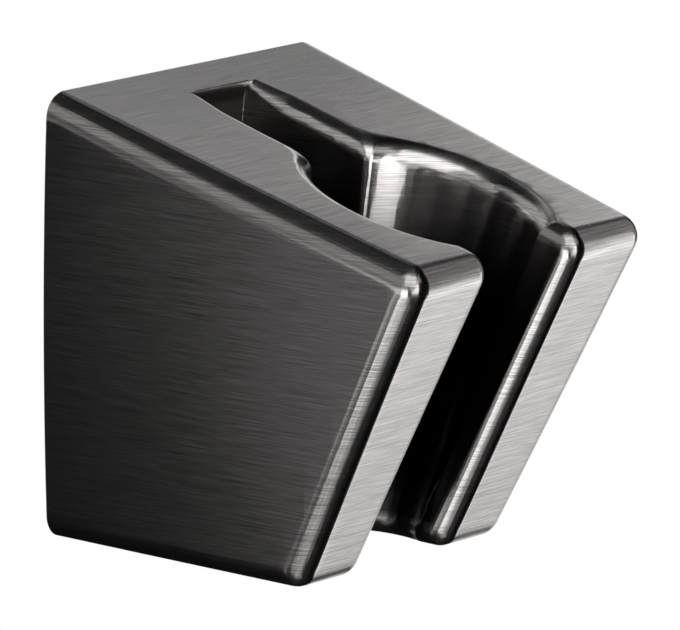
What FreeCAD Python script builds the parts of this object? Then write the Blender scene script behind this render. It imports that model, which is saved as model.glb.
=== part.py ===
import FreeCAD, Part
import math
import os

# Hand shower holder: one cast block with a leaning conical cradle, in millimetres.
# X is to the right seen from the front, Y points into the wall, Z is up.
# The origin is the centre of the mounting face, which lies on the wall at Y = 0.

# The block
wall_height = 50.0
wall_width = 45.4
side_draft_deg = 5.44
side_taper_deg = 2.0
top_depth = 48.3
top_fall_deg = 14.3
front_lean_deg = 22.4
bottom_rise_deg = 0.4
edge_radius = 2.65
wall_rim_bevel = 0.3

# The cradle, a cone that leans forward at the top
cradle_wall = 2.15
cradle_bore = 25.7
cradle_lean_deg = 10.3
cradle_half_angle_deg = 6.1
mouth_width = 15.6
mouth_edge_radius = 2.3

# The narrow slot behind the cradle
slot_width = 10.1
slot_web = 5.6
slot_rear_draft_deg = 1.5
slot_rear_break = 0.2
throat_radius = 1.2
throat_flare_radius = 3.5
top_rim_radius = 2.3
bottom_rim_radius = 2.3

# The wall screws
screw_spacing = 22.0
screw_hole = 4.5
screw_head = 8.4
screw_head_angle_deg = 90.0
screw_head_clearance = 0.3

# The pockets in the back
pocket_wall = 3.0
pocket_depth = 17.0
pocket_draft_deg = 1.5
pocket_corner_radius = 2.0
rib_thickness = 2.4
rib_setback = 3.0

half_height = wall_height / 2
cradle_distance = top_depth - cradle_wall - cradle_bore / 2
over = 10.0
bore_split_deg = 25.0
rim_steps = 6
rim_end_deg = 87.0


def radians(degrees):
    return math.radians(degrees)


def tan(degrees):
    return math.tan(math.radians(degrees))


def vector(x, y, z):
    return FreeCAD.Vector(x, y, z)


def closed_face(points):
    return Part.Face(Part.makePolygon(points + points[:1]))


def side_plane_x(y, z):
    # half width of the block at a depth and a height
    return wall_width / 2 + tan(side_draft_deg) * z + tan(side_taper_deg) * y


def flat_sided(first, second):
    # a solid between two loops of four corners, which run anticlockwise seen from outside the first
    faces = [closed_face(first), closed_face(second)]
    for index in range(4):
        following = (index + 1) % 4
        faces.append(closed_face([first[index], first[following], second[following], second[index]]))
    return Part.Solid(Part.Shell(faces))


def block_corners(side):
    # the side view: upright at the wall, nearly level below, falling above, leaning in front
    nose_z = half_height - top_depth * tan(top_fall_deg)
    foot_y = -top_depth + (nose_z + half_height) * tan(front_lean_deg)
    foot_y /= 1 - tan(bottom_rise_deg) * tan(front_lean_deg)
    foot_z = -half_height - foot_y * tan(bottom_rise_deg)
    outline = [(0, half_height), (0, -half_height), (foot_y, foot_z), (-top_depth, nose_z)]
    return [vector(side * side_plane_x(y, z), y, z) for y, z in outline]


def outer_block():
    block = flat_sided(block_corners(-1), block_corners(1))
    edges = [edge for edge in block.Edges if edge.BoundBox.YMin < -0.01]
    block = block.makeFillet(edge_radius, edges)
    rim = [edge for edge in block.Edges if edge.BoundBox.YMin > -0.01]
    return block.makeChamfer(wall_rim_bevel, rim)


# The cradle's axis and its size at a height or at a depth under the top face

def axis_top():
    return vector(0, -cradle_distance, half_height - cradle_distance * tan(top_fall_deg))


def axis_y(z):
    return -cradle_distance + (axis_top().z - z) * tan(cradle_lean_deg)


def bore_radius_at_height(z):
    along = (axis_top().z - z) / math.cos(radians(cradle_lean_deg))
    return cradle_bore / 2 - along * tan(cradle_half_angle_deg)


def mouth_void():
    # the open front, from the cradle's axis outwards
    high = half_height + over
    face = closed_face([
        vector(-mouth_width / 2, axis_y(high), high),
        vector(-mouth_width / 2, axis_y(-high), -high),
        vector(-mouth_width / 2, -top_depth - over, -high),
        vector(-mouth_width / 2, -top_depth - over, high),
    ])
    return face.extrude(vector(mouth_width, 0, 0))


def with_mouth(block):
    opened = block.cut(mouth_void())
    edges = []
    for edge in opened.Edges:
        box = edge.BoundBox
        flat = box.XLength < 0.01 and abs(abs(box.XMin) - mouth_width / 2) < 0.01
        if flat and edge_is_outside(edge):
            edges.append(edge)
    return opened.makeFillet(mouth_edge_radius, edges)


def edge_is_outside(edge):
    # the mouth's upright edge at the cradle's axis is the only one that isn't rounded
    middle = edge.valueAt((edge.FirstParameter + edge.LastParameter) / 2)
    return middle.y < axis_y(middle.z) - 0.05


def keyhole_wire(place, half_slot, rear, centre, radius, throat):
    # slot and cradle in one outline: place turns (x, v) into a point of the section's plane
    throat_x = half_slot + throat
    reach = math.sqrt((radius + throat) ** 2 - throat_x ** 2)
    share = radius / (radius + throat)
    start_v = centre + reach
    touch = (throat_x * share, centre + reach * share)
    # the middle of the throat's arc, on the line that halves it
    turn = math.atan2(reach, throat_x)
    half_turn = turn / 2
    throat_mid = (throat_x - throat * math.cos(half_turn), start_v - throat * math.sin(half_turn))
    split = radians(bore_split_deg)
    touch_angle = math.atan2(touch[1] - centre, touch[0])

    def on_bore(angle):
        return (radius * math.cos(angle), centre + radius * math.sin(angle))

    rear_mid = on_bore((touch_angle + split) / 2)
    front_mid = on_bore((split - math.pi / 2) / 2)
    front = (0.0, centre - radius)

    def at(point, mirror=1):
        return place(mirror * point[0], point[1])

    def arc(start, middle, end, mirror):
        points = [at(start, mirror), at(middle, mirror), at(end, mirror)]
        if mirror < 0:
            points.reverse()
        return Part.Arc(*points).toShape()

    rear_corner = (half_slot, rear)
    throat_start = (half_slot, start_v)
    return Part.Wire([
        Part.makeLine(at(rear_corner, -1), at(rear_corner)),
        Part.makeLine(at(rear_corner), at(throat_start)),
        arc(throat_start, throat_mid, touch, 1),
        arc(touch, rear_mid, on_bore(split), 1),
        arc(on_bore(split), front_mid, front, 1),
        arc(on_bore(split), front_mid, front, -1),
        arc(touch, rear_mid, on_bore(split), -1),
        arc(throat_start, throat_mid, touch, -1),
        Part.makeLine(at(throat_start, -1), at(rear_corner, -1)),
    ])


def slot_rear_y(z):
    return -slot_web + (half_height - z) * tan(slot_rear_draft_deg)


def top_section(depth, flare):
    # a section parallel to the top face, at a depth under it
    fall = radians(top_fall_deg)
    skew = radians(top_fall_deg - cradle_lean_deg)
    along = depth / math.cos(skew)
    centre = -cradle_distance / math.cos(fall) - depth * math.tan(skew)
    radius = cradle_bore / 2 - along * tan(cradle_half_angle_deg)
    rear = slot_rear_y(half_height - depth) / math.cos(fall)
    throat = throat_at(flare, top_rim_radius)

    def place(x, v):
        y = v * math.cos(fall) + depth * math.sin(fall)
        z = half_height + v * math.sin(fall) - depth * math.cos(fall)
        return vector(x, y, z)

    return keyhole_wire(place, slot_width / 2 + flare, rear, centre, radius + flare, throat)


def bottom_section(height, flare):
    # a section parallel to the bottom face, at a height above it
    z = -half_height + height + cradle_distance * tan(bottom_rise_deg)
    radius = bore_radius_at_height(z)
    throat = throat_at(flare, bottom_rim_radius)

    def place(x, v):
        return vector(x, v, -half_height + height - v * tan(bottom_rise_deg))

    return keyhole_wire(
        place, slot_width / 2 + flare, slot_rear_y(z), axis_y(z), radius + flare, throat
    )


def throat_at(flare, rim_radius):
    return throat_radius + (throat_flare_radius - throat_radius) * flare / rim_radius


def rim_levels(rim_radius):
    # depth under the face and side step of a quarter round, which ends on the face itself
    levels = []
    for step in range(rim_steps + 1):
        angle = radians(rim_end_deg * step / rim_steps)
        depth = rim_radius * (math.sin(radians(rim_end_deg)) - math.sin(angle))
        levels.append((depth, rim_radius * (1 - math.cos(angle))))
    return levels


def with_keyhole(block):
    # the straight walls, then the two rounded rims, each swept from the wall out to its face
    top = [top_section(depth, flare) for depth, flare in rim_levels(top_rim_radius)]
    bottom = [bottom_section(depth, flare) for depth, flare in rim_levels(bottom_rim_radius)]
    block = block.cut(Part.makeLoft([bottom[0], top[0]], True, True))
    block = block.cut(Part.makeLoft(top, True, False))
    return block.cut(Part.makeLoft(bottom, True, False))


def with_rear_break(block):
    # a fine bevel along the slot's rear top edge
    y = slot_rear_y(half_height)
    z = half_height + y * tan(top_fall_deg)
    away = slot_rear_break
    wedge = closed_face([
        vector(-slot_width / 2, y - away, z + away),
        vector(-slot_width / 2, y + away, z + away * tan(top_fall_deg)),
        vector(-slot_width / 2, y, z - away),
        vector(-slot_width / 2, y - away, z - away),
    ])
    return block.cut(wedge.extrude(vector(slot_width, 0, 0)))


def with_screw_holes(block):
    for side in (1, -1):
        z = side * screw_spacing / 2
        seat = slot_rear_y(z)
        spread = slot_width / 2 - screw_head / 2 - screw_head_clearance
        wide = screw_head / 2 + spread
        depth = (wide - screw_hole / 2) / tan(screw_head_angle_deg / 2)
        cone_start = vector(0, seat - spread / tan(screw_head_angle_deg / 2), z)
        hole = Part.makeCylinder(screw_hole / 2, slot_web + over, cone_start, vector(0, 1, 0))
        sink = Part.makeCone(wide, screw_hole / 2, depth, cone_start, vector(0, 1, 0))
        block = block.cut(hole).cut(sink)
    return block


def pocket_outline(y):
    # the left pocket's four corners at a depth, drawn in by its draft
    draft = -y * tan(pocket_draft_deg)
    inner = slot_width / 2 + pocket_wall + draft
    low = -half_height + pocket_wall + draft
    high = half_height + y * tan(top_fall_deg) - pocket_wall / math.cos(radians(top_fall_deg)) - draft
    return [
        vector(-inner, y, low),
        vector(pocket_wall + draft - side_plane_x(y, low), y, low),
        vector(pocket_wall + draft - side_plane_x(y, high), y, high),
        vector(-inner, y, high),
    ]


def rib():
    # a level wall across both pockets, thicker towards their floor
    floor = -pocket_depth - over
    thin = rib_thickness / 2
    thick = thin - (floor + rib_setback) * tan(pocket_draft_deg)
    face = closed_face([
        vector(-wall_width, -rib_setback, thin),
        vector(-wall_width, -rib_setback, -thin),
        vector(-wall_width, floor, -thick),
        vector(-wall_width, floor, thick),
    ])
    return face.extrude(vector(2 * wall_width, 0, 0))


def with_pockets(block):
    # the right pocket is the left one's mirror image
    pocket = flat_sided(pocket_outline(over), pocket_outline(-pocket_depth))
    edges = [edge for edge in pocket.Edges if edge.BoundBox.YMin < -0.01]
    pocket = pocket.makeFillet(pocket_corner_radius, edges).cut(rib())
    return block.cut(pocket).cut(pocket.mirror(vector(0, 0, 0), vector(1, 0, 0)))


body = with_keyhole(with_mouth(outer_block()))
body = with_rear_break(body)
body = with_screw_holes(body)
body = with_pockets(body)

os.makedirs("parts", exist_ok=True)
body.exportStep("parts/holder_body.step")
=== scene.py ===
import math

import bmesh
import bpy
from mathutils import Matrix, Vector


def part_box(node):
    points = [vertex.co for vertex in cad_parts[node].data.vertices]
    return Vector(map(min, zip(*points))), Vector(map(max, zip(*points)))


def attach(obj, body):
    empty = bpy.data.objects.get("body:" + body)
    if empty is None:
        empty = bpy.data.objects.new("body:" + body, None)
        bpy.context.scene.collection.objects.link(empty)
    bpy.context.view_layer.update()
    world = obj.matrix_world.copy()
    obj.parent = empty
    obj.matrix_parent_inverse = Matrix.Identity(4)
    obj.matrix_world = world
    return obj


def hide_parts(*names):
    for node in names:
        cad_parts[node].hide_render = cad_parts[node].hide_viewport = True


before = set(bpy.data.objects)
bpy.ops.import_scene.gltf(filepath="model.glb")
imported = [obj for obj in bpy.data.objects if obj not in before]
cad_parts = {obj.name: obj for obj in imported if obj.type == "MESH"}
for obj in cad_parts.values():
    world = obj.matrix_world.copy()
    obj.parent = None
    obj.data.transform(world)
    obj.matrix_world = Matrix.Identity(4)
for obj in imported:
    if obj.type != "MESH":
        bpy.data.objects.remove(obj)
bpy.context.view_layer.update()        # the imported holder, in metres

print("frame loaded")


# Small helpers

def placeMatrix(azimuth, elevation, roll=0.0):
    # an object's local +Z points from the holder towards this direction
    turn = Matrix.Rotation(math.radians(azimuth), 4, "Z")
    tilt = Matrix.Rotation(math.radians(90 - elevation), 4, "X")
    return turn @ tilt @ Matrix.Rotation(math.radians(roll), 4, "Z")


def newObject(name, data):
    thing = bpy.data.objects.new(name, data)
    bpy.context.scene.collection.objects.link(thing)
    return thing


def share(value, low, high):
    # 0 at low, 1 at high, and held there outside
    return min(1.0, max(0.0, (value - low) / (high - low)))


def nodeTree(owner):
    owner.use_nodes = True
    owner.node_tree.nodes.clear()
    return owner.node_tree


def feed(tree, socket, value):
    if isinstance(value, bpy.types.NodeSocket):
        tree.links.new(value, socket)
    else:
        socket.default_value = value


def addNode(tree, kind, settings=None, **inputs):
    # settings are the node's own properties, inputs are values or sockets by name
    node = tree.nodes.new(kind)
    for key, value in (settings or {}).items():
        setattr(node, key, value)
    for key, value in inputs.items():
        feed(tree, node.inputs[key.replace("_", " ")], value)
    return node


def feedInOrder(tree, node, values):
    # fills a node's inputs in their order and gives its first output
    for socket, value in zip(node.inputs, values):
        feed(tree, socket, value)
    return node.outputs[0]


def calc(tree, operation, first, second=0.0, third=0.0):
    node = addNode(tree, "ShaderNodeMath", {"operation": operation})
    return feedInOrder(tree, node, (first, second, third))


def remap(tree, value, fromLow, fromHigh, toLow, toHigh, smooth=False):
    kind = "SMOOTHSTEP" if smooth else "LINEAR"
    node = addNode(tree, "ShaderNodeMapRange", {"interpolation_type": kind})
    return feedInOrder(tree, node, (value, fromLow, fromHigh, toLow, toHigh))


def between(tree, factor, low, high):
    # low where the factor is 0, high where it is 1
    return remap(tree, factor, 0.0, 1.0, low, high)


# The camera, at the photograph's angle

camera = {
    "azimuth": -55.877,       # degrees from straight in front, negative to the left
    "elevation": 12.479,
    "roll": 3.732,
    "distance": 0.985,
    "aside": 0.01882,         # of the point that it looks at, across and up in the picture
    "above": -0.00299,
    "lens": 474.43,
    "sensor": 36.0,
}


def makeCamera():
    data = bpy.data.cameras.new("photoCamera")
    data.lens = camera["lens"]
    data.sensor_width = camera["sensor"]
    thing = newObject("photoCamera", data)
    turned = placeMatrix(camera["azimuth"], camera["elevation"], camera["roll"])
    away = Vector((camera["aside"], camera["above"], camera["distance"]))
    thing.matrix_world = turned @ Matrix.Translation(away)
    bpy.context.scene.camera = thing


# The brushed metal

brushedGunmetal = {
    "baseColor": (0.268, 0.258, 0.253),
    "roughness": 0.21,
    "cradleRoughness": 0.19,
    "roughnessSpread": 0.02,
    "anisotropic": 0.86,      # reflections smear across the brush lines
    "lyingFrom": 0.86,        # between these upward shares of the normal the brushing turns
    "lyingTo": 0.95,
    "lineWidth": 0.0001,      # of the widest lines, finer ones lie over them
    "topLineWidth": 0.00015,
    "lineLength": 0.0075,
    "lineRise": 1.8,          # degrees that the lines on the sides rise towards the front
    "lineDetail": 2.0,        # how many finer sets of lines there are, and how strong they are
    "lineFineness": 0.8,
    "lineSeed": 1.0,
    "topLineSeed": 4.0,
    "noiseDark": 0.3,         # noise that makes the darkest line, and the lightest one
    "noiseLight": 0.7,
    "toneSpread": 0.4,        # lightness of a brush line against its neighbour
    "topToneSpread": 0.36,
    "topFrontPaintedShade": 1.22,     # painted shade: the top is painted darker towards the wall and lighter at the front
    "topBackPaintedShade": 0.68,
    "topShadeFrontY": -0.028,      # where it is lightest, and where darkest
    "topShadeBackY": -0.001,
    "cradlePaintedLight": 1.5,        # painted light: the cradle and its rim are painted lighter
    "recessPaintedShade": 0.15,       # painted shade: deep inside, the colour is painted darker
}


def brushLines(tree, place, across, width, seed):
    # noise drawn out along the brush strokes: across names the axis that it changes quickly on
    metal = brushedGunmetal
    scale = {axis: 1 / metal["lineLength"] for axis in "XYZ"}
    scale[across] = 1 / width
    stretch = addNode(tree, "ShaderNodeVectorMath", {"operation": "MULTIPLY"})
    stretched = feedInOrder(tree, stretch, (place, (scale["X"], scale["Y"], scale["Z"])))
    noise = addNode(tree, "ShaderNodeTexNoise", {"noise_dimensions": "4D"}, Vector=stretched, W=seed,
                    Scale=1.0, Detail=metal["lineDetail"], Roughness=metal["lineFineness"])
    return noise.outputs["Fac"]


def makeBrushedGunmetal():
    metal = brushedGunmetal
    material = bpy.data.materials.new("brushedGunmetal")
    tree = nodeTree(material)
    coordinate = addNode(tree, "ShaderNodeTexCoord")
    place = coordinate.outputs["Object"]
    turned = addNode(tree, "ShaderNodeMapping", Vector=place,
                     Rotation=(math.radians(metal["lineRise"]), 0.0, 0.0))
    normalZ = addNode(tree, "ShaderNodeSeparateXYZ", Vector=coordinate.outputs["Normal"]).outputs["Z"]
    placeY = addNode(tree, "ShaderNodeSeparateXYZ", Vector=place).outputs["Y"]
    cradle = addNode(tree, "ShaderNodeAttribute", {"attribute_name": "cradleMask"}).outputs["Fac"]
    recessShade = addNode(tree, "ShaderNodeAttribute", {"attribute_name": "recessShadeMask"}).outputs["Fac"]

    # lying is 1 on the top and the foot and 0 on what stands
    upward = calc(tree, "ABSOLUTE", normalZ)
    lying = remap(tree, upward, metal["lyingFrom"], metal["lyingTo"], 0.0, 1.0, True)
    sideLines = brushLines(tree, turned.outputs[0], "Z", metal["lineWidth"], metal["lineSeed"])
    topLines = brushLines(tree, place, "Y", metal["topLineWidth"], metal["topLineSeed"])
    grain = addNode(tree, "ShaderNodeMix", Factor=lying, A=sideLines, B=topLines).outputs["Result"]
    signed = remap(tree, grain, metal["noiseDark"], metal["noiseLight"], -1.0, 1.0)

    spread = between(tree, lying, metal["toneSpread"], metal["topToneSpread"])
    grainAndPaintedLight = calc(tree, "MULTIPLY_ADD", signed, spread, 1.0)
    # painted shade over the top: lighter at the front, darker at the wall
    paintedTopShade = remap(tree, placeY, metal["topShadeFrontY"], metal["topShadeBackY"], metal["topFrontPaintedShade"],
                    metal["topBackPaintedShade"], True)
    # painted light and shade over the grain: the top darker at the wall, the cradle lighter, deep inside
    # darker
    for factor, full in ((lying, paintedTopShade), (cradle, metal["cradlePaintedLight"]), (recessShade, metal["recessPaintedShade"])):
        grainAndPaintedLight = calc(tree, "MULTIPLY", grainAndPaintedLight, between(tree, factor, 1.0, full))
    color = addNode(tree, "ShaderNodeVectorMath", {"operation": "SCALE"}, Vector=metal["baseColor"],
                    Scale=grainAndPaintedLight)
    middleRoughness = between(tree, cradle, metal["roughness"], metal["cradleRoughness"])
    roughness = calc(tree, "MULTIPLY_ADD", signed, metal["roughnessSpread"], middleRoughness)

    # the direction across the lines: up a standing face, and from back to front on a lying one
    lyingAcross = addNode(tree, "ShaderNodeCombineXYZ", Y=calc(tree, "SIGN", normalZ))
    across = addNode(tree, "ShaderNodeMix", {"data_type": "VECTOR"}, Factor=lying)
    standingInput, lyingInput = across.inputs[4:6]       # the two that take vectors
    standingInput.default_value = (0.0, 0.0, 1.0)
    feed(tree, lyingInput, lyingAcross.outputs[0])

    shader = addNode(tree, "ShaderNodeBsdfPrincipled", Base_Color=color.outputs[0], Metallic=1.0,
                     Roughness=roughness, Anisotropic=metal["anisotropic"], Tangent=across.outputs[1])
    addNode(tree, "ShaderNodeOutputMaterial", Surface=shader.outputs[0])
    return material


# The holder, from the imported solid, with its sides swelling a little as on the real one

holder = {
    "node": "holder_body",
    "slot": "brushed_gunmetal",
    "mergeDistance": 0.000002,
    "sharpAngle": 32.0,
    "wallSlack": 0.00001,     # a face this near the wall is the mounting face
    "rimBevel": 0.0003,       # of the bevel round the mounting face
    "topLevel": 0.025,        # of the top face at the wall, and how it falls towards the front
    "topFall": 14.3,
    "footLevel": -0.025,

    # the swelling sides
    "sideMiddle": 0.0227,     # half the width at the wall, half way up
    "sideDraft": 5.44,        # degrees that a side leans out towards the top
    "sideTaper": 2.0,         # degrees that a side draws in towards the front
    "crownBack": 0.00068,     # how far a side swells from top to bottom, at the wall
    "crownFront": 0.00032,
    "crownTop": 0.00036,      # how far it swells from the wall to the front, along its top
    "crownFoot": 0.00024,
    "crownPower": 8,          # how fast the swelling fades towards the middle of the holder
    "depthCuts": 14,
    "heightCuts": 16,

    # the slot, whose rounded rim narrows towards its rear corners
    "slotHalf": 0.00505,
    "slotSlack": 0.00002,     # a point this near the slot's wall is on it
    "webDepth": 0.0043,       # nothing nearer to the wall than this belongs to the slot
    "rimReach": 0.0024,       # of the rounded rim from the slot's wall, and down it
    "rimRear": 0.0053,        # between these depths the rim grows from its rear share to the whole
    "rimFull": 0.0115,
    "rimShare": 0.5,
    "rimBehind": 0.0003,      # points up to this far behind the slot's rear go with the rim
    "cornerTop": 0.0155,      # the upright corners at the slot's rear are rounded above this
    "cornerNear": 0.0005,     # such a corner is this near the slot's rear
    "cornerInside": 0.0001,   # and at most this far inside the slot's wall
    "cornerAngle": 46.0,      # its faces meet at more than this angle
    "cornerUpright": 0.9,     # and the upward share of their normals is less than this
    "cornerRadius": 0.0013,
    "cornerSegments": 5,

    # the cradle and the reach of its painted light and smoother finish, just past its walls
    "axisDepth": 0.0333,      # of the cradle's axis where it leaves the top
    "axisHeight": 0.01651,
    "axisLean": 10.3,
    "cradleReach": 0.0154,    # from the axis to the outside of the rounded rim
    "boreReach": 0.01305,     # from the axis where it leaves the top, and less below by the bore's angle
    "boreAngle": 6.1,
    "mouthReach": 0.00785,    # from the middle to just past the mouth's walls, the slot's rim and its walls
    "slotRimReach": 0.0076,
    "slotWallReach": 0.00555,
    "flatNormal": 0.96,       # faces that lie flatter than this belong to the top and the foot
    "slotShadeDepths": (0.006, 0.009),      # depths under the top between which the painted shade darkens the colour
    "cradleShadeDepths": (0.003, 0.012),
    "footShadeHeights": (0.0005, 0.003),     # heights above the foot between which it lightens again
}


def crownShift(spot, low, high):
    # how far a point goes outwards: all at a side, nothing in the middle
    back = (spot.y - low.y) / (high.y - low.y)
    top = (spot.z - low.z) / (high.z - low.z)
    overHeight = holder["crownFront"] + (holder["crownBack"] - holder["crownFront"]) * back
    overDepth = holder["crownFoot"] + (holder["crownTop"] - holder["crownFoot"]) * top
    push = overHeight * 4 * top * (1 - top) + overDepth * 4 * back * (1 - back)
    side = holder["sideMiddle"] + math.tan(math.radians(holder["sideDraft"])) * spot.z
    side += math.tan(math.radians(holder["sideTaper"])) * spot.y
    return math.copysign(push * min(1.0, abs(spot.x) / side) ** holder["crownPower"], spot.x)


def belowTop(spot):
    # how far a point lies under the plane of the top face
    return holder["topLevel"] + spot.y * math.tan(math.radians(holder["topFall"])) - spot.z


def besideSlot(spot):
    # how far a point lies outside the slot's walls
    return abs(spot.x) - holder["slotHalf"]


def taperRim(shape):
    for vert in shape.verts:
        spot = vert.co
        aside = besideSlot(spot)
        onRim = -holder["slotSlack"] < aside < holder["rimReach"] and belowTop(spot) < holder["rimReach"]
        if onRim and holder["rimRear"] - holder["rimBehind"] < -spot.y < holder["rimFull"]:
            along = share(-spot.y, holder["rimRear"], holder["rimFull"])
            part = holder["rimShare"] + (1 - holder["rimShare"]) * along * along * (3 - 2 * along)
            spot.z += belowTop(spot) * (1 - part)
            spot.x = math.copysign(holder["slotHalf"] + max(0.0, aside) * part, spot.x)


def isSlotCorner(edge):
    for vert in edge.verts:
        nearRear = abs(-vert.co.y - holder["rimRear"]) < holder["cornerNear"]
        nearWall = -holder["cornerInside"] < besideSlot(vert.co) < holder["rimReach"]
        if not (nearRear and nearWall and vert.co.z > holder["cornerTop"]):
            return False
    upward = max(abs(face.normal.z) for face in edge.link_faces)
    return upward < holder["cornerUpright"] and edge.calc_face_angle() > math.radians(holder["cornerAngle"])


def roundCorners(shape):
    corners = [edge for edge in shape.edges if isSlotCorner(edge)]
    bmesh.ops.bevel(shape, geom=corners, offset=holder["cornerRadius"], offset_type="OFFSET",
                    segments=holder["cornerSegments"], profile=0.5, affect="EDGES", material=-1,
                    clamp_overlap=True)
    print("slot corners rounded,", len(corners), "edges")


def inCradle(spot, axisY):
    # behind the axis the rounded rim counts too, in front of it only the bore and the mouth do
    if spot.y > axisY:
        onRim = math.hypot(spot.x, spot.y - axisY) < holder["cradleReach"]
        return onRim or abs(spot.x) < holder["slotRimReach"]
    lean = math.radians(holder["axisLean"])
    down = (spot.y + holder["axisDepth"]) * math.sin(lean) - (spot.z - holder["axisHeight"]) * math.cos(lean)
    reach = holder["boreReach"] - down * math.tan(math.radians(holder["boreAngle"]))
    inBore = math.hypot(spot.x, (spot.y - axisY) * math.cos(lean)) < reach
    return inBore or abs(spot.x) < holder["mouthReach"]


def markCradleLightAndRecessShade(mesh):
    # cradleMask is 1 on the cradle's and the slot's walls, for painted light and a smoother finish; the
    # second mask grows with the depth inside and carries painted shade
    cradle = mesh.attributes.new("cradleMask", "FLOAT", "CORNER")
    recessShade = mesh.attributes.new("recessShadeMask", "FLOAT", "CORNER")
    slope = math.tan(math.radians(holder["axisLean"]))
    for face in mesh.polygons:
        middle = face.center
        axisY = -holder["axisDepth"] + (holder["axisHeight"] - middle.z) * slope
        # the pockets' walls face away from the cradle's axis
        inwards = middle.x * face.normal.x + (middle.y - axisY) * face.normal.y < 0
        standing = abs(face.normal.z) < holder["flatNormal"] and middle.y < -holder["webDepth"]
        if not (inwards and standing and inCradle(middle, axisY)):
            continue
        inSlot = abs(middle.x) < holder["slotWallReach"] and middle.y > axisY
        # painted shade: darker with depth under the top, fading again just above the foot
        depths = holder["slotShadeDepths"] if inSlot else holder["cradleShadeDepths"]
        for corner in face.loop_indices:
            spot = mesh.vertices[mesh.loops[corner].vertex_index].co
            aboveFoot = share(spot.z - holder["footLevel"], *holder["footShadeHeights"])
            cradle.data[corner].value = 1.0
            recessShade.data[corner].value = share(belowTop(spot), *depths) * aboveFoot


def faceLevel(face):
    # the mounting face, the bevel round it and everything else don't share their shading
    depth = -face.calc_center_median().y
    if depth < holder["wallSlack"]:
        return 0
    return 1 if depth < holder["rimBevel"] else 2


def markSharp(shape):
    for face in shape.faces:
        face.smooth = True
    for edge in shape.edges:
        one, other = edge.link_faces
        flat = edge.calc_face_angle() < math.radians(holder["sharpAngle"])
        edge.smooth = flat and faceLevel(one) == faceLevel(other)


def makeHolder(material):
    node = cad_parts[holder["node"]]
    low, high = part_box(holder["node"])
    shape = bmesh.new()
    shape.from_mesh(node.data)
    bmesh.ops.remove_doubles(shape, verts=shape.verts, dist=holder["mergeDistance"])

    # a grid of cuts lets the flat sides bend
    for axis, count in ((Vector((0, 1, 0)), holder["depthCuts"]), (Vector((0, 0, 1)), holder["heightCuts"])):
        for step in range(1, count):
            spot = low.lerp(high, step / count)
            everything = shape.verts[:] + shape.edges[:] + shape.faces[:]
            bmesh.ops.bisect_plane(shape, geom=everything, plane_co=spot, plane_no=axis,
                                   dist=holder["mergeDistance"])
    taperRim(shape)
    roundCorners(shape)
    for vert in shape.verts:
        vert.co.x += crownShift(vert.co, low, high)
    shape.normal_update()
    markSharp(shape)

    mesh = bpy.data.meshes.new("holderBody")
    shape.to_mesh(mesh)
    shape.free()
    markCradleLightAndRecessShade(mesh)
    mesh.materials.clear()
    mesh.materials.append(material)
    piece = newObject("holderBody", mesh)
    normals = piece.modifiers.new("faceNormals", "WEIGHTED_NORMAL")
    normals.mode = "FACE_AREA"
    normals.keep_sharp = True
    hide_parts(holder["node"])
    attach(piece, "root")
    print("holder made,", len(mesh.polygons), "faces")


# The studio: a white surround, a pale floor, soft boxes and dark cards

studio = {
    "floorHeight": -2.2,
    "floorSize": 14.0,
    "floorColor": (0.8, 0.8, 0.8, 1.0),
    "white": (1.0, 1.0, 1.0, 1.0),
    "darkColor": (0.02, 0.02, 0.02, 1.0),
    "fill": 0.5,              # of the surround, on what isn't metal
}

softBoxes = {
    # azimuth and elevation from the holder and half spread, in degrees, distance in metres, and strength
    "backGreyCard": {"direction": (165, -11), "spread": (26, 29), "distance": 1.7, "strength": 0.33},
    "leftHighBox": {"direction": (-87, 38), "spread": (28, 19), "distance": 1.5, "strength": 0.67},
    "leftLowBox": {"direction": (-62.5, -19.5), "spread": (14, 17), "distance": 1.5, "strength": 5.2},
    "frontBox": {"direction": (-17.5, 2.5), "spread": (14, 20.5), "distance": 1.5, "strength": 3.7},
    "rightBox": {"direction": (63, -13.5), "spread": (9, 26), "distance": 1.5, "strength": 2.8},
    "rightHighBox": {"direction": (72, 14), "spread": (15, 23), "distance": 1.5, "strength": 0.47},
    "leftGreyCard": {"direction": (-92, -10.5), "spread": (26.5, 15), "distance": 1.5, "strength": 2.0},
    "leftTopBox": {"direction": (-46.5, 43.5), "spread": (29.5, 26), "distance": 1.5, "strength": 2.3},
    "leftEdgeBox": {"direction": (-22, 5), "spread": (19, 12), "distance": 1.5, "strength": 0.95},
    "leftLowGreyBox": {"direction": (-114, -18), "spread": (5.5, 29.5), "distance": 1.5, "strength": 0.35},
    "rightFarBox": {"direction": (127.5, 5), "spread": (3, 13.5), "distance": 1.3, "strength": 4.3},
    "rightBackBox": {"direction": (107, 26), "spread": (3, 4.5), "distance": 1.3, "strength": 2.0},
}

darkCards = {
    "lowFrontCard": {"direction": (-8.5, -30), "spread": (39, 8.5), "distance": 1.95},
    "frontCard": {"direction": (19, -15), "spread": (44, 43.5), "distance": 1.9},
    "cameraCard": {"direction": (-91.5, 31), "spread": (46, 23.5), "distance": 1.9},
    "gapCard": {"direction": (-50, -8), "spread": (28.5, 18), "distance": 1.9},
    "rightCard": {"direction": (67, 21), "spread": (42.5, 36.5), "distance": 1.9},
    "rightBackCard": {"direction": (91.5, -68.5), "spread": (53, 34), "distance": 1.9},
    "backCard": {"direction": (134.5, -6.5), "spread": (13.5, 45.5), "distance": 1.9},
    "leftBackCard": {"direction": (-132, -46), "spread": (47.5, 34), "distance": 1.9},
    "leftHighCard": {"direction": (-141.5, 6), "spread": (20, 21.5), "distance": 1.9},
    "backHighCard": {"direction": (169.5, 75.5), "spread": (21.5, 5.5), "distance": 1.85},
    "topCard": {"direction": (37, 85.5), "spread": (42, 34.5), "distance": 1.8},
    "footCard": {"direction": (46.5, -88.5), "spread": (25.5, 38.5), "distance": 1.4},
}


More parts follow.
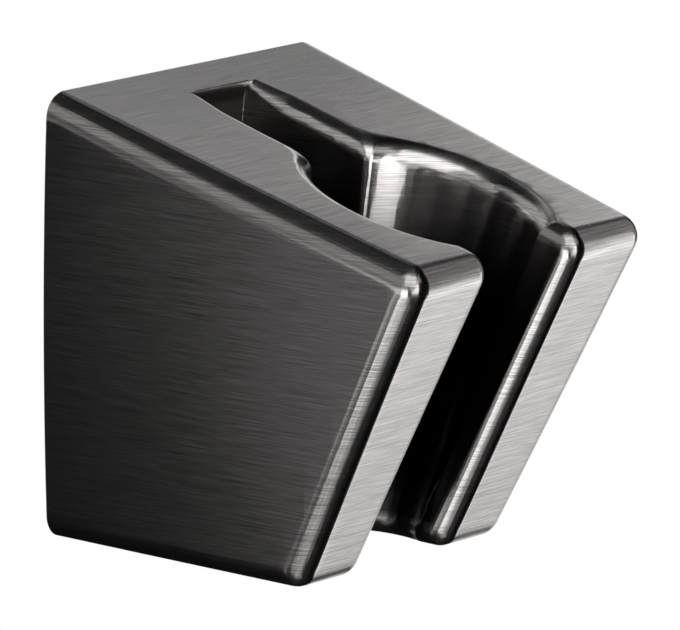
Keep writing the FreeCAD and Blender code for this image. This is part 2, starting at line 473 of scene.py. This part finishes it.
def surroundShader(tree, coloured, background):
    # white where the camera or the metal looks at it, and plain for the rest of the light
    paths = addNode(tree, "ShaderNodeLightPath")
    seen = calc(tree, "MAXIMUM", paths.outputs["Is Camera Ray"], paths.outputs["Is Glossy Ray"])
    seen = calc(tree, "MAXIMUM", seen, paths.outputs["Is Transmission Ray"])
    mix = addNode(tree, "ShaderNodeMixShader")
    return feedInOrder(tree, mix, (seen, coloured.outputs[0], background.outputs[0]))


def makeSurround():
    world = bpy.data.worlds.new("surround")
    bpy.context.scene.world = world
    tree = nodeTree(world)
    plain = addNode(tree, "ShaderNodeBackground", Color=studio["white"], Strength=studio["fill"])
    white = addNode(tree, "ShaderNodeBackground", Color=studio["white"], Strength=1.0)
    addNode(tree, "ShaderNodeOutputWorld", Surface=surroundShader(tree, plain, white))


def makeSheet(name, material, halfWide, halfHigh, place, seen=True):
    # a flat sheet across the place's own Z
    shape = bmesh.new()
    bmesh.ops.create_grid(shape, x_segments=1, y_segments=1, size=1.0)
    bmesh.ops.scale(shape, vec=(halfWide, halfHigh, 1.0), verts=shape.verts)
    bmesh.ops.transform(shape, matrix=place, verts=shape.verts)
    mesh = bpy.data.meshes.new(name)
    shape.to_mesh(mesh)
    shape.free()
    mesh.materials.append(material)
    thing = newObject(name, mesh)
    thing.visible_camera = seen


def makeCard(name, card, material):
    # a card that faces the holder, seen in the metal and not by the camera
    halfWide, halfHigh = (card["distance"] * math.tan(math.radians(angle)) for angle in card["spread"])
    place = placeMatrix(*card["direction"]) @ Matrix.Translation((0, 0, card["distance"]))
    makeSheet(name, material, halfWide, halfHigh, place, seen=False)


def makeSoftBoxMaterial(name, strength):
    material = bpy.data.materials.new(name)
    tree = nodeTree(material)
    glow = addNode(tree, "ShaderNodeEmission", Strength=strength)
    addNode(tree, "ShaderNodeOutputMaterial", Surface=glow.outputs[0])
    return material


def makeDarkMaterial():
    material = bpy.data.materials.new("darkCard")
    tree = nodeTree(material)
    paint = addNode(tree, "ShaderNodeBsdfDiffuse", Color=studio["darkColor"])
    addNode(tree, "ShaderNodeOutputMaterial", Surface=paint.outputs[0])
    return material


def makeFloor():
    material = bpy.data.materials.new("paleFloor")
    tree = nodeTree(material)
    paint = addNode(tree, "ShaderNodeBsdfDiffuse", Color=studio["floorColor"])
    white = addNode(tree, "ShaderNodeEmission", Strength=1.0)
    addNode(tree, "ShaderNodeOutputMaterial", Surface=surroundShader(tree, paint, white))
    half = studio["floorSize"] / 2
    makeSheet("floor", material, half, half, Matrix.Translation((0, 0, studio["floorHeight"])))


makeCamera()
makeSurround()
makeFloor()
dark = makeDarkMaterial()
for name, card in darkCards.items():
    makeCard(name, card, dark)
for name, box in softBoxes.items():
    makeCard(name, box, makeSoftBoxMaterial(name, box["strength"]))
print("studio ready")

makeHolder(makeBrushedGunmetal())

bpy.context.scene.view_settings.view_transform = "Standard"
